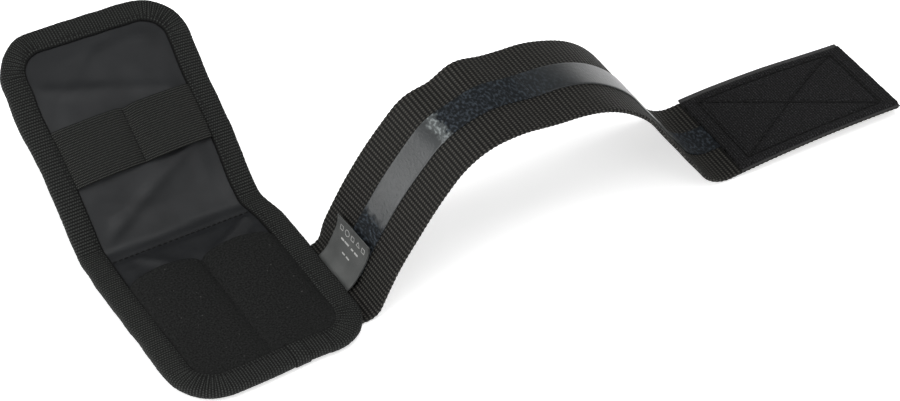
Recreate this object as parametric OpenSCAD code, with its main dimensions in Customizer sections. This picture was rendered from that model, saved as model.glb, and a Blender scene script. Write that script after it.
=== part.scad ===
// A small fabric tool wallet that straps round a tube. The base panel lies on a surface with its
// pocket up, the lid folds over it, and a webbing strap with a hook tape tab leaves the right side.

/* [Panels] */
// Width of the base and lid panels inside the binding
panel_w = 84; // [70:1:110]
// Depth of the base panel from its front edge to the fold
base_depth = 91.5; // [80:0.5:120]
// Distance from the front edge to the centre of the pocket area
front_y = 44; // [40:1:60]
// Length of the lid along its curve
lid_length = 98; // [80:1:110]
// Radius of the rounded panel corners
corner_r = 20; // [15:1:25]
// Slope of the lid when it is left open
lid_tilt = 29; // [0:1:40]
// Angle through which the lid curves over its length
lid_curl = 30; // [10:1:40]

/* [Layers] */
// Thickness of the loop patch under the base
patch_t = 2.2; // [1.5:0.1:2.2]
// Thickness of the binding tape
tape_t = 0.6; // [0.4:0.1:0.8]
// Thickness of the outer shell fabric
shell_t = 0.8; // [0.4:0.1:1]
// Thickness of the foam between shell and lining
foam_t = 1.2; // [0.8:0.1:1.6]
// Thickness of the nylon lining
lining_t = 0.4; // [0.2:0.1:0.5]
// Thickness of the stretch pocket fabric
pocket_t = 0.6; // [0.4:0.1:0.8]
// Width of the binding tape on each face
binding_w = 10; // [8:1:12]

/* [Pocket and elastic] */
// Distance from the base centre to the mouth of the pocket
pocket_mouth_y = 27; // [20:1:32]
// Clear height inside each pocket slot
pocket_h = 4.4; // [4.2:0.1:6]
// Distance from the fold hinge to the middle of the elastic band
elastic_y = 42; // [40:1:55]
// Width of the elastic band across the lid
elastic_w = 25; // [20:1:30]
// Clear height under the elastic band
elastic_h = 2.6; // [2:0.1:3]

/* [Strap] */
// Width of the webbing strap
strap_w = 50; // [40:1:50]
// Thickness of the webbing
strap_t = 1.6; // [1.2:0.1:1.6]
// Distance from the front edge of the panel to the strap's near edge
strap_inset = 11; // [10:1:20]
// Width of the rubber grip strip
grip_w = 15; // [10:1:20]
// Thickness of the rubber grip strip
grip_t = 0.6; // [0.4:0.1:0.8]
// Length of the hook tape on the strap's end
hook_length = 77; // [60:1:77]
// Width of the hook tape
hook_w = 52; // [40:1:54]
// Thickness of the hook tape
hook_t = 1.4; // [1:0.1:2]

/* [Label] */
// Width of the folded care label
label_w = 24; // [18:1:26]
// Thickness of the folded care label
label_t = 0.6; // [0.4:0.1:0.6]

/* [Hidden] */
$fn = 96;
BLACK = [0.12, 0.12, 0.12];
SLATE = [0.22, 0.23, 0.25];
WEBBING = [0.17, 0.16, 0.14];
RUBBER = [0.2, 0.22, 0.23];
LABEL = [0.36, 0.36, 0.35];
THREAD = [0.08, 0.08, 0.08];

// Heights of the panel layers, measured from the resting surface
leaf_low = 1.6;
shell_low = leaf_low + tape_t;
foam_low = shell_low + shell_t;
lining_low = foam_low + foam_t;
lining_top = lining_low + lining_t;
leaf_high = lining_top + pocket_t;
panel_top = leaf_high + tape_t;
panel_mid = 3.4;
web_t = 0.8;
back_y = base_depth - front_y;
seam_y = back_y - 3.5;

// A stitch is a short bar of thread that lies on the fabric
stitch_l = 2.6;
stitch_w = 0.6;
stitch_t = 0.3;
stitch_pitch = 4;
stitch_inset = 8;

// The lid hinges on a line just behind the base panel
hinge_gap = 2.5;
hinge_y = back_y + hinge_gap;
lid_r = lid_length * 180 / (PI * lid_curl);
lid_chord = 2 * lid_r * sin(lid_curl / 2);
lid_drop = lid_r * cos(lid_curl / 2);

// The strap's course, as bends of [length, turn]; it starts level at the panel's right side
BENDS = [[8, 66], [62, -18], [40, -58], [18, 8], [48, -55], [44, 0], [16, 63], [82, -8]];
STRAP_START = [panel_w / 2 + 1.4, strap_t / 2 + 0.05];
SHOULDER = 90;
CREST = 152;
FOOT = 228;
STRAP_LENGTH = 318;
hinge_clear = 2.6;
grip_clear = 4;
strap_y = strap_inset - front_y;
strap_mid_y = strap_y + strap_w / 2;
label_y = strap_y + 17;
LABEL_BENDS = [[6, 25], [8, 6], [7, 30]];
LABEL_START = [panel_w / 2 + 2.4, 3.8];
label_heading = 35;
slice = 2;
// Clearance that keeps two bent layers from touching
seat = 0.04;

function start_of(bends, i) = i == 0 ? 0 : start_of(bends, i - 1) + bends[i - 1][0];
function turn_before(bends, i) = i == 0 ? 0 : turn_before(bends, i - 1) + bends[i - 1][1];
function bend_at(bends, s, i = 0) =
    i == len(bends) - 1 || s <= start_of(bends, i + 1) ? i : bend_at(bends, s, i + 1);
function chord(length, turn) = turn == 0 ? length : length * sin(turn / 2) * 360 / (turn * PI);
function along(p, h, length, turn) = p + chord(length, turn) * [cos(h + turn / 2), sin(h + turn / 2)];
function corner(bends, p, h, i) =
    i == 0 ? p
    : along(corner(bends, p, h, i - 1), h + turn_before(bends, i - 1), bends[i - 1][0], bends[i - 1][1]);
function part_turn(bends, s) =
    let (i = bend_at(bends, s)) bends[i][1] * (s - start_of(bends, i)) / bends[i][0];
function heading(bends, h, s) = h + turn_before(bends, bend_at(bends, s)) + part_turn(bends, s);
function centre(bends, p, h, s) =
    let (i = bend_at(bends, s))
    along(corner(bends, p, h, i), h + turn_before(bends, i), s - start_of(bends, i), part_turn(bends, s));
function offset_point(bends, p, h, s, lift) =
    let (a = heading(bends, h, s)) centre(bends, p, h, s) + lift * [-sin(a), cos(a)];
function stops(s0, s1) =
    let (n = max(2, ceil((s1 - s0) / slice))) [for (k = [0:n]) s0 + (s1 - s0) * k / n];
function strap_point(s, lift) = offset_point(BENDS, STRAP_START, 0, s, lift);

// A band that follows a course of bends between two distances, and between two heights off it
module band(bends, p, h, s0, s1, low, high, y0, y1) {
    upper = [for (s = stops(s0, s1)) offset_point(bends, p, h, s, high)];
    lower = [for (s = stops(-s1, -s0)) offset_point(bends, p, h, -s, low)];
    translate([0, y1, 0]) rotate([90, 0, 0]) linear_extrude(y1 - y0) polygon(concat(upper, lower));
}

module webbing(s0, s1) {
    band(BENDS, STRAP_START, 0, s0, s1, -strap_t / 2, strap_t / 2, strap_y, strap_y + strap_w);
}

module grip(s0, s1) {
    band(BENDS, STRAP_START, 0, s0, s1, strap_t / 2 + seat, strap_t / 2 + grip_t,
         strap_mid_y - grip_w / 2, strap_mid_y + grip_w / 2);
}

module stitch() {
    translate([-stitch_l / 2, -stitch_w / 2, 0]) cube([stitch_l, stitch_w, stitch_t]);
}

// A row of stitches along a straight line on a flat face
module stitch_row(from, to, z) {
    run = to - from;
    length = norm(run);
    count = floor(length / stitch_pitch);
    for (k = [0:count]) {
        place = from + run * k / count;
        translate([place[0], place[1], z]) rotate([0, 0, atan2(run[1], run[0])]) stitch();
    }
}

// The base panel's outline, grown outwards on its sides and front
module base_outline(grow = 0) {
    r = corner_r + grow;
    half = panel_w / 2;
    translate([-half - grow, corner_r - front_y]) square([panel_w + 2 * grow, base_depth - corner_r]);
    translate([corner_r - half, -front_y - grow]) square([panel_w - 2 * corner_r, corner_r + grow]);
    for (side = [-1, 1]) translate([side * (half - corner_r), corner_r - front_y]) circle(r);
}

module base_layer(low, high, grow = 0) {
    translate([0, 0, low]) linear_extrude(high - low) base_outline(grow);
}

// The lid's outline in its own plane, with the fold at the origin
module lid_outline(grow = 0) {
    r = corner_r + grow;
    half = panel_w / 2;
    straight = lid_chord - corner_r;
    translate([-half - grow, hinge_gap]) square([panel_w + 2 * grow, straight]);
    translate([corner_r - half, hinge_gap]) square([panel_w - 2 * corner_r, lid_chord + grow]);
    for (side = [-1, 1]) translate([side * (half - corner_r), hinge_gap + straight]) circle(r);
}

// A bent sheet of the lid, between two heights off its middle surface
module lid_sheet(low, high) {
    translate([0, hinge_gap + lid_chord / 2, -lid_drop]) rotate([0, 90, 0]) difference() {
        cylinder(h = 2 * panel_w, r = lid_r + high, center = true, $fn = 360);
        cylinder(h = 3 * panel_w, r = lid_r + low, center = true, $fn = 360);
    }
}

module lid_layer(low, high, grow = 0) {
    intersection() {
        lid_sheet(low - panel_mid, high - panel_mid);
        translate([0, 0, -corner_r]) linear_extrude(3 * corner_r) lid_outline(grow);
    }
}

// Places something on the lid's bent face, at a distance along the chord and a height in the layers
module on_lid_face(x, y, z) {
    lean = asin((y - hinge_gap - lid_chord / 2) / lid_r);
    translate([x, hinge_gap + lid_chord / 2, -lid_drop]) rotate([-lean, 0, 0])
        translate([0, 0, lid_r + z - panel_mid]) children();
}

module on_lid() {
    translate([0, hinge_y, panel_mid]) rotate([lid_tilt, 0, 0]) children();
}

module lid_stitch(x, y, z, turn) {
    on_lid_face(x, y, z) rotate([0, 0, turn]) stitch();
}

// An arched cover with a flat crown and sloping sides, from x = 0 to its outer flange
module arch(width, clear, skin) {
    flat = 2;
    slope = 6;
    polygon([
        [0, 0], [0, skin], [flat, skin], [flat + slope, skin + clear],
        [width - flat - slope, skin + clear], [width - flat, skin], [width, skin], [width, 0],
        [width - flat, 0], [width - flat - slope, clear], [flat + slope, clear], [flat, 0]
    ]);
}

module loop_patch() {
    color(BLACK) translate([-28, -28, 0]) cube([42, 56, patch_t]);
}

module loop_patch_stitch() {
    z = shell_low - stitch_t;
    color(THREAD) {
        for (y = [-29, 29]) stitch_row([-27, y], [13, y], z);
        for (x = [-29, 15]) stitch_row([x, -26], [x, 26], z);
    }
}

module strap_anchor() {
    color(WEBBING) translate([19, strap_y, 0]) cube([panel_w / 2 - 19, strap_w, 1.55]);
}

module strap_anchor_stitch() {
    inner = [22, strap_y + 4];
    outer = [29, strap_y + strap_w - 4];
    z = 1.6;
    color(THREAD) {
        stitch_row(inner, [inner[0], outer[1]], z);
        stitch_row([outer[0], inner[1]], outer, z);
    }
}

module base_outer_shell() {
    color(BLACK) base_layer(shell_low, foam_low);
}

module base_foam() {
    color(BLACK) base_layer(foam_low, lining_low);
}

module base_lining() {
    color(SLATE) base_layer(lining_low, lining_top);
}

// Two side-by-side slots, open towards the fold and sloping down to the front binding
module pocket() {
    slot_w = panel_w / 2 - binding_w - 0.1;
    pocket_front = binding_w - front_y + 0.1;
    nose = 14;
    color(BLACK) difference() {
        intersection() {
            linear_extrude(4 * panel_top) base_outline(-binding_w - 0.1);
            translate([0, pocket_mouth_y, lining_top]) rotate([90, 0, 0])
                linear_extrude(pocket_mouth_y - pocket_front) for (side = [0, 1])
                    mirror([side, 0]) difference() {
                        square([slot_w, pocket_t + pocket_h]);
                        polygon([
                            [2, pocket_t], [-1, pocket_t], [-1, 20], [slot_w + 1, 20],
                            [slot_w + 1, pocket_t], [slot_w - 2, pocket_t],
                            [slot_w - 8, pocket_t + pocket_h], [8, pocket_t + pocket_h]
                        ]);
                    }
            translate([0, pocket_front, lining_top + pocket_t]) rotate([nose, 0, 0])
                translate([-panel_w, -5, -40]) cube([2 * panel_w, 2 * base_depth, 40]);
        }
        intersection() {
            translate([0, pocket_mouth_y + 1, lining_top]) rotate([90, 0, 0])
                linear_extrude(pocket_mouth_y - pocket_front) for (side = [0, 1])
                    mirror([side, 0])
                        polygon([[2, -1], [2, 0], [8, pocket_h], [slot_w - 8, pocket_h], [slot_w - 2, 0],
                                 [slot_w - 2, -1]]);
            translate([0, pocket_front, lining_top]) rotate([nose, 0, 0])
                translate([-panel_w, 1, -40]) cube([2 * panel_w, 2 * base_depth, 40]);
        }
    }
}

module pocket_centre_stitch() {
    color(THREAD) stitch_row([0, -31], [0, pocket_mouth_y - 3], lining_top + pocket_t);
}

// Folded tape round the side and front edges, with a leaf on each face
module base_binding() {
    color(BLACK) difference() {
        base_layer(leaf_low, panel_top, web_t);
        base_layer(shell_low, leaf_high);
        base_layer(0, 2 * panel_top, -binding_w);
        translate([binding_w - panel_w / 2, back_y - 2 * corner_r, 0])
            cube([panel_w - 2 * binding_w, 3 * corner_r, 2 * panel_top]);
    }
}

module base_binding_stitch() {
    edge = panel_w / 2 - stitch_inset;
    front = stitch_inset - front_y;
    turn_r = corner_r - stitch_inset;
    middle = panel_w / 2 - corner_r;
    color(THREAD) {
        for (side = [-1, 1]) {
            stitch_row([side * edge, corner_r - front_y], [side * edge, back_y - 3], panel_top);
            for (a = [20:20:70])
                translate([side * (middle + turn_r * cos(a)), corner_r - front_y - turn_r * sin(a), panel_top])
                    rotate([0, 0, side * (90 - a)]) stitch();
        }
        stitch_row([-middle, front], [3, front], panel_top);
        stitch_row([14, front], [middle, front], panel_top);
    }
}

// The tape's loose end, doubled over the front edge
module binding_end_overlap() {
    reach = binding_w - 1;
    extra = 0.4;
    color(BLACK) translate([6, -front_y - web_t - extra, leaf_low - extra]) difference() {
        cube([6, reach, panel_top - leaf_low + 2 * extra]);
        translate([-1, extra, extra]) cube([8, reach, panel_top - leaf_low]);
    }
}

module fold_seam_stitch() {
    edge = panel_w / 2 - binding_w - 2;
    color(THREAD) stitch_row([-edge, seam_y], [edge, seam_y], lining_top);
}

module lid_outer_shell() {
    color(BLACK) on_lid() lid_layer(shell_low, foam_low);
}

module lid_foam() {
    color(BLACK) on_lid() lid_layer(foam_low, lining_low);
}

module lid_lining() {
    color(SLATE) on_lid() lid_layer(lining_low, lining_top);
}

module lid_binding() {
    color(BLACK) on_lid() difference() {
        lid_layer(leaf_low, leaf_high, web_t);
        lid_layer(shell_low, lining_top);
        translate([0, 0, -corner_r]) linear_extrude(3 * corner_r) lid_outline(-binding_w);
        translate([binding_w - panel_w / 2, -corner_r, -corner_r])
            cube([panel_w - 2 * binding_w, 2 * corner_r + hinge_gap, 3 * corner_r]);
    }
}

module lid_binding_stitch() {
    edge = panel_w / 2 - stitch_inset;
    top_y = hinge_gap + lid_chord - stitch_inset;
    turn_r = corner_r - stitch_inset;
    middle = panel_w / 2 - corner_r;
    turn_y = hinge_gap + lid_chord - corner_r;
    color(THREAD) on_lid() {
        for (side = [-1, 1]) {
            for (y = [hinge_gap + 3:stitch_pitch:turn_y]) lid_stitch(side * edge, y, leaf_high, 90);
            for (a = [20:20:70])
                lid_stitch(side * (middle + turn_r * cos(a)), turn_y + turn_r * sin(a), leaf_high,
                           side * (a + 90));
        }
        for (x = [-middle:stitch_pitch:middle]) lid_stitch(x, top_y, leaf_high, 0);
    }
}

module elastic_band() {
    loop_w = panel_w / 2 - binding_w - 0.1;
    color(BLACK) on_lid() on_lid_face(0, elastic_y, lining_top + seat) translate([0, elastic_w / 2, 0])
        rotate([90, 0, 0]) linear_extrude(elastic_w)
            for (side = [0, 1]) mirror([side, 0]) arch(loop_w, elastic_h, 0.8);
}

module elastic_centre_stitch() {
    reach = elastic_w / 2 - 2;
    color(THREAD) on_lid() on_lid_face(0, elastic_y, lining_top + seat + 0.8)
        stitch_row([0, -reach], [0, reach], 0);
}

module strap_rise() {
    color(WEBBING) webbing(0, SHOULDER - hinge_clear);
}

module grip_strip_rise() {
    color(RUBBER) grip(11, SHOULDER - grip_clear);
}

module strap_crest() {
    color(WEBBING) webbing(SHOULDER + hinge_clear, CREST - hinge_clear);
}

module grip_strip_crest() {
    color(RUBBER) grip(SHOULDER + grip_clear, CREST - grip_clear);
}

module strap_fall() {
    color(WEBBING) webbing(CREST + hinge_clear, FOOT - hinge_clear);
}

module grip_strip_fall() {
    color(RUBBER) grip(CREST + grip_clear, FOOT - grip_clear);
}

module strap_end() {
    color(WEBBING) webbing(FOOT + hinge_clear, STRAP_LENGTH);
}

module grip_strip_end() {
    color(RUBBER) grip(FOOT + grip_clear, STRAP_LENGTH - hook_length - 0.3);
}

module hook_tape() {
    side = (hook_w - strap_w) / 2;
    color(BLACK) band(BENDS, STRAP_START, 0, STRAP_LENGTH - hook_length, STRAP_LENGTH, strap_t / 2 + seat,
                      strap_t / 2 + hook_t, strap_y - side, strap_y + strap_w + side);
}

// A stitch on the hook tape, at a distance along the strap and a place across it
module hook_stitch(s, y, turn) {
    place = strap_point(s, strap_t / 2 + hook_t + 0.05);
    translate([place[0], y, place[1]]) rotate([0, -heading(BENDS, 0, s), 0]) rotate([0, 0, turn]) stitch();
}

module hook_tape_stitch() {
    margin = 6;
    s0 = STRAP_LENGTH - hook_length + margin;
    s1 = STRAP_LENGTH - margin;
    y0 = strap_y + margin;
    y1 = strap_y + strap_w - margin;
    count = floor((s1 - s0) / stitch_pitch);
    slant = atan2(y1 - y0, s1 - s0);
    color(THREAD) {
        for (y = [y0, y1]) for (k = [0:count]) hook_stitch(s0 + (s1 - s0) * k / count, y, 0);
        for (s = [s0, s1]) for (y = [y0 + stitch_pitch:stitch_pitch:y1 - stitch_pitch]) hook_stitch(s, y, 90);
        for (side = [-1, 1]) for (k = [2:count - 2]) if (side == 1 || abs(k - count / 2) > 1)
            hook_stitch(s0 + (s1 - s0) * k / count,
                        (y0 + y1) / 2 + side * (y1 - y0) * (k / count - 0.5), side * slant);
    }
}

module care_label() {
    color(LABEL) band(LABEL_BENDS, LABEL_START, label_heading, 0, 21, -label_t / 2, label_t / 2,
                      label_y, label_y + label_w);
}

loop_patch();
loop_patch_stitch();
strap_anchor();
strap_anchor_stitch();
base_outer_shell();
base_foam();
base_lining();
pocket();
pocket_centre_stitch();
base_binding();
base_binding_stitch();
binding_end_overlap();
fold_seam_stitch();
lid_outer_shell();
lid_foam();
lid_lining();
lid_binding();
lid_binding_stitch();
elastic_band();
elastic_centre_stitch();
strap_rise();
grip_strip_rise();
strap_crest();
grip_strip_crest();
strap_fall();
grip_strip_fall();
strap_end();
grip_strip_end();
hook_tape();
hook_tape_stitch();
care_label();
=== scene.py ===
"""A fabric tool wallet lying open, with its webbing strap arched beside it."""

import math

import bpy
import numpy as np
from mathutils import Matrix, Vector, noise


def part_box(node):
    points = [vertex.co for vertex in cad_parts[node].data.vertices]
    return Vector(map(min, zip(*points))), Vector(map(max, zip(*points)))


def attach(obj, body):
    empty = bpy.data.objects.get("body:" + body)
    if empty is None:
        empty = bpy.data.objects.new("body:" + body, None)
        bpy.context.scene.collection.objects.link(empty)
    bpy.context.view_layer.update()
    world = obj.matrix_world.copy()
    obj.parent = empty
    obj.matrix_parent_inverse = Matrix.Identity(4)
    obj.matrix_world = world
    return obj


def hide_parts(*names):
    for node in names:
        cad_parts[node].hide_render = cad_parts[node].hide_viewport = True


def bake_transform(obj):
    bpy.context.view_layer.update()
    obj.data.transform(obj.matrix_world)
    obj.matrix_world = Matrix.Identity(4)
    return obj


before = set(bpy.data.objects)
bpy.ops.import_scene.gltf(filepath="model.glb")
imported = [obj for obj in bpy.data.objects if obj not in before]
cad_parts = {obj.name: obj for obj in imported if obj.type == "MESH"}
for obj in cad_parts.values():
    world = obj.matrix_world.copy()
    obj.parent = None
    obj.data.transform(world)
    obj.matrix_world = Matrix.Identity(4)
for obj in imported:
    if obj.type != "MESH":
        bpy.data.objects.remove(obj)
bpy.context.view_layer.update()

MM = 0.001

# ---------------------------------------------------------------- camera and light

FOCAL_MM = 200
CAMERA_AZIMUTH = math.radians(30.0)
CAMERA_ELEVATION = math.radians(42.3)
CAMERA_ROLL = math.radians(0.2)
CAMERA_DISTANCE = 2.0488
CAMERA_TARGET = Vector((0.1079, 0.0135, 0.0))
# A dark flag stands high behind the set, so that level glossy faces stay black
FLAG_DIRECTION = Vector((0.37, 0.64, 0.67)).normalized()
FLAG_EDGE, FLAG_CORE = 0.72, 0.93
FLAG_DARK = (0.04, 0.04, 0.04, 1)
WHITE = (1, 1, 1, 1)
SENSOR_MM = 36
WORLD_STRENGTH = 0.5
FLOOR_REACH = 6.0
FLOOR_GAP = 0.0005
FLOOR_GLOW = 0.55
# Softboxes: name, place, aim, size and watts
SOFTBOXES = [
    ("left_softbox", (-1.3, -0.2, 1.0), (0.05, 0, 0.03), (1.0, 1.0), 14),
    ("top_softbox", (0.1, -0.3, 1.7), (0.1, 0, 0.0), (1.2, 0.9), 12),
    ("front_softbox", (0.5, -1.6, 1.3), (0.1, 0, 0.0), (1.2, 0.8), 6),
    ("low_left_softbox", (-1.0, 1.0, 0.26), (0.09, 0, 0.04), (0.9, 0.5), 3.2),
    ("low_right_softbox", (1.2, 0.95, 0.3), (0.18, 0, 0.05), (0.8, 0.5), 1.0),
]


def add_camera():
    data = bpy.data.cameras.new("camera")
    data.lens = FOCAL_MM
    data.sensor_width = SENSOR_MM
    data.clip_end = 20
    camera = bpy.data.objects.new("camera", data)
    bpy.context.scene.collection.objects.link(camera)
    level = math.cos(CAMERA_ELEVATION)
    east, north = math.sin(CAMERA_AZIMUTH) * level, math.cos(CAMERA_AZIMUTH) * level
    forward = Vector((east, north, -math.sin(CAMERA_ELEVATION)))
    camera.location = CAMERA_TARGET - forward * CAMERA_DISTANCE
    turn = forward.to_track_quat("-Z", "Y").to_matrix().to_4x4()
    roll = Matrix.Rotation(CAMERA_ROLL, 4, "Z")
    camera.matrix_world = Matrix.Translation(camera.location) @ turn @ roll
    bpy.context.scene.camera = camera


def add_softbox(name, place, aim, size, watts):
    data = bpy.data.lights.new(name, "AREA")
    data.shape = "RECTANGLE"
    data.size, data.size_y = size
    data.energy = watts
    light = bpy.data.objects.new(name, data)
    light.location = place
    light.rotation_euler = (Vector(aim) - Vector(place)).to_track_quat("-Z", "Y").to_euler()
    bpy.context.scene.collection.objects.link(light)


def add_studio():
    world = bpy.data.worlds.new("studio")
    world.use_nodes = True
    tree = world.node_tree
    background = tree.nodes["Background"]
    background.inputs["Strength"].default_value = WORLD_STRENGTH
    direction = tree.nodes.new("ShaderNodeTexCoord")
    toward = tree.nodes.new("ShaderNodeVectorMath")
    toward.operation = "DOT_PRODUCT"
    toward.inputs[1].default_value = FLAG_DIRECTION
    ramp = tree.nodes.new("ShaderNodeValToRGB")
    stops = ((FLAG_EDGE, WHITE), (FLAG_CORE, FLAG_DARK))
    for element, (position, color) in zip(ramp.color_ramp.elements, stops):
        element.position = position
        element.color = color
    tree.links.new(direction.outputs["Generated"], toward.inputs[0])
    tree.links.new(toward.outputs["Value"], ramp.inputs["Fac"])
    tree.links.new(ramp.outputs["Color"], background.inputs["Color"])
    bpy.context.scene.world = world
    for softbox in SOFTBOXES:
        add_softbox(*softbox)
    bpy.context.scene.view_settings.view_transform = "Standard"
    add_floor()


def add_floor():
    """A pale floor just under the wallet, lit a little from within so that it stays near white."""
    mesh = bpy.data.meshes.new("floor")
    signs = ((-1, -1), (1, -1), (1, 1), (-1, 1))
    corners = [(FLOOR_REACH * x, FLOOR_REACH * y, 0) for x, y in signs]
    mesh.from_pydata(corners, [], [(0, 1, 2, 3)])
    floor = bpy.data.objects.new("floor", mesh)
    floor.location.z = -FLOOR_GAP
    bpy.context.scene.collection.objects.link(floor)
    material = bpy.data.materials.new("pale_floor")
    material.use_nodes = True
    shader = material.node_tree.nodes["Principled BSDF"]
    shader.inputs["Base Color"].default_value = (0.93, 0.93, 0.93, 1)
    shader.inputs["Roughness"].default_value = 0.9
    shader.inputs["Specular IOR Level"].default_value = 0.1
    shader.inputs["Emission Color"].default_value = WHITE
    shader.inputs["Emission Strength"].default_value = FLOOR_GLOW
    mesh.materials.append(material)


# ---------------------------------------------------------------- materials


class Nodes:
    """A short way to write a material's node tree, on the piece's UV map in millimetres."""

    def __init__(self, name, color, roughness, **settings):
        self.material = bpy.data.materials.new(name)
        self.material.use_nodes = True
        self.tree = self.material.node_tree
        self.shader = self.tree.nodes["Principled BSDF"]
        self.shader.inputs["Base Color"].default_value = (*color, 1)
        self.shader.inputs["Roughness"].default_value = roughness
        self.shader.inputs["Specular IOR Level"].default_value = 0.2
        for label, value in settings.items():
            self.shader.inputs[label.replace("_", " ")].default_value = value
        self.uv = self.add("ShaderNodeUVMap").outputs["UV"]

    def add(self, kind, **values):
        node = self.tree.nodes.new(kind)
        for key, value in values.items():
            setattr(node, key, value)
        return node

    def link(self, source, target):
        if isinstance(source, (int, float)):
            target.default_value = source
        else:
            self.tree.links.new(source, target)

    def math(self, operation, a, b=0.0, c=0.0):
        node = self.add("ShaderNodeMath", operation=operation)
        for socket, value in zip(node.inputs, (a, b, c)):
            self.link(value, socket)
        return node.outputs[0]

    def axis(self, index):
        split = self.add("ShaderNodeSeparateXYZ")
        self.link(self.uv, split.inputs[0])
        return split.outputs[index]

    def wave(self, value, pitch, phase=0.0):
        """A cosine from 0 to 1 with the given pitch."""
        turns = self.math("MULTIPLY_ADD", value, 2 * math.pi / pitch, phase)
        return self.math("MULTIPLY_ADD", self.math("COSINE", turns), 0.5, 0.5)

    def noise(self, scale, detail=2.0, stretch=(1, 1, 1), source=None):
        mapping = self.add("ShaderNodeMapping")
        self.link(source or self.uv, mapping.inputs["Vector"])
        mapping.inputs["Scale"].default_value = stretch
        node = self.add("ShaderNodeTexNoise")
        node.inputs["Scale"].default_value = scale
        node.inputs["Detail"].default_value = detail
        self.link(mapping.outputs[0], node.inputs["Vector"])
        return node.outputs["Fac"]

    def mix(self, share, first, second):
        node = self.add("ShaderNodeMix", data_type="RGBA")
        self.link(share, node.inputs[0])
        for value, socket in ((first, node.inputs[6]), (second, node.inputs[7])):
            if isinstance(value, tuple):
                socket.default_value = value
            else:
                self.tree.links.new(value, socket)
        return node.outputs[2]

    def ramp(self, value, stops):
        node = self.add("ShaderNodeValToRGB")
        self.link(value, node.inputs["Fac"])
        elements = node.color_ramp.elements
        while len(elements) < len(stops):
            elements.new(0.5)
        for element, (position, color) in zip(elements, stops):
            element.position = position
            element.color = (*color, 1)
        return node.outputs["Color"]

    def level(self, value, low, high, out_low, out_high):
        node = self.add("ShaderNodeMapRange")
        for socket, number in zip(node.inputs, (value, low, high, out_low, out_high)):
            self.link(number, socket)
        return node.outputs[0]

    def bump(self, height, distance, strength=1.0):
        node = self.add("ShaderNodeBump")
        node.inputs["Strength"].default_value = strength
        node.inputs["Distance"].default_value = distance
        self.link(height, node.inputs["Height"])
        self.link(node.outputs["Normal"], self.shader.inputs["Normal"])

    def color(self, value):
        self.link(value, self.shader.inputs["Base Color"])

    def roughness(self, value):
        self.link(value, self.shader.inputs["Roughness"])


def plain_weave(nodes, pitch_u, pitch_v):
    """Height of a plain weave: warp and weft bulge in turn like a chequerboard."""
    u, v = nodes.axis(0), nodes.axis(1)
    warp = nodes.math("MULTIPLY", nodes.wave(u, pitch_u), nodes.wave(v, 2 * pitch_v))
    shifted_u = nodes.wave(u, pitch_u, math.pi)
    weft = nodes.math("MULTIPLY", shifted_u, nodes.wave(v, 2 * pitch_v, math.pi))
    return nodes.math("ADD", warp, weft)


def ribbed_grid(nodes, rib, bead):
    """Height of a ribbed weave: each rib is a row of beads, every other one half a bead on."""
    u = nodes.axis(0)
    v = nodes.math("MULTIPLY_ADD", nodes.wave(u, 2 * rib), bead / 2, nodes.axis(1))
    ribs = nodes.math("POWER", nodes.wave(u, rib), 0.7)
    beads = nodes.math("MULTIPLY_ADD", nodes.wave(v, bead), 0.55, 0.45)
    return nodes.math("MULTIPLY", ribs, beads)


def webbing_material():
    nodes = Nodes("heavy_webbing", (0.012, 0.0115, 0.01), 0.78)
    weave = ribbed_grid(nodes, 1.9, 1.25)
    fine = nodes.noise(2.4, 3.0, (1, 0.35, 1))
    height = nodes.math("MULTIPLY_ADD", fine, 0.3, nodes.math("MULTIPLY", weave, 0.85))
    # Painted highlight and shade: the weave's raised beads are coloured light and its hollows near
    # black.
    dark, light = (0.0008, 0.0008, 0.0007), (0.066, 0.064, 0.056)
    nodes.color(nodes.ramp(height, [(0.15, dark), (0.55, (0.0115, 0.011, 0.0098)), (1.0, light)]))
    nodes.roughness(nodes.level(fine, 0.3, 0.7, 0.6, 0.82))
    nodes.bump(height, 0.0005, 0.9)
    return nodes.material


def tape_material(name, color, rib, cross, rim=0.0):
    """Narrow fabric: fine ribs across u, beaded along v; raised beads painted lighter as highlight,
    hollows painted darker as shade, and a painted shadow up to the rim's width.
    """
    nodes = Nodes(name, color, 0.85)
    fine = nodes.noise(1.1, 3.0)
    height = nodes.math("MULTIPLY_ADD", fine, 0.6, ribbed_grid(nodes, rib, cross))
    # Painted highlight and shade: raised ribs and beads are coloured up to 4.6 times lighter,
    # hollows down to 0.12 times.
    dark = tuple(c * 0.12 for c in color)
    light = tuple(c * 4.6 for c in color)
    stops = [(0.1, dark), (0.5, color), (1.0, light)]
    weave = nodes.ramp(nodes.level(height, 0.15, 1.35, 0, 1), stops)
    # Painted shadow: up to the rim's width from the tape's inner edge the colour is mixed nearly to
    # black, for the shade where the tape meets the lining.
    if rim:
        inner_edge_shadow = nodes.level(nodes.axis(1), rim, rim + 0.7, 0.9, 0.0)
        weave = nodes.mix(inner_edge_shadow, weave, (0.001, 0.001, 0.001, 1))
    nodes.color(weave)
    nodes.bump(height, 0.0003, 0.9)
    return nodes.material


def lining_material():
    nodes = Nodes("nylon_lining", (0.013, 0.014, 0.0155), 0.5, Specular_IOR_Level=0.32)
    weave = plain_weave(nodes, 0.5, 0.25)
    cloud = nodes.noise(0.05, 2.0)
    stops = [(0.25, (0.0085, 0.0092, 0.0102)), (0.75, (0.0135, 0.0146, 0.016))]
    nodes.color(nodes.ramp(cloud, stops))
    nodes.roughness(nodes.level(nodes.noise(0.15, 4.0), 0.3, 0.7, 0.48, 0.58))
    nodes.bump(weave, 0.00005, 0.6)
    return nodes.material


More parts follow.
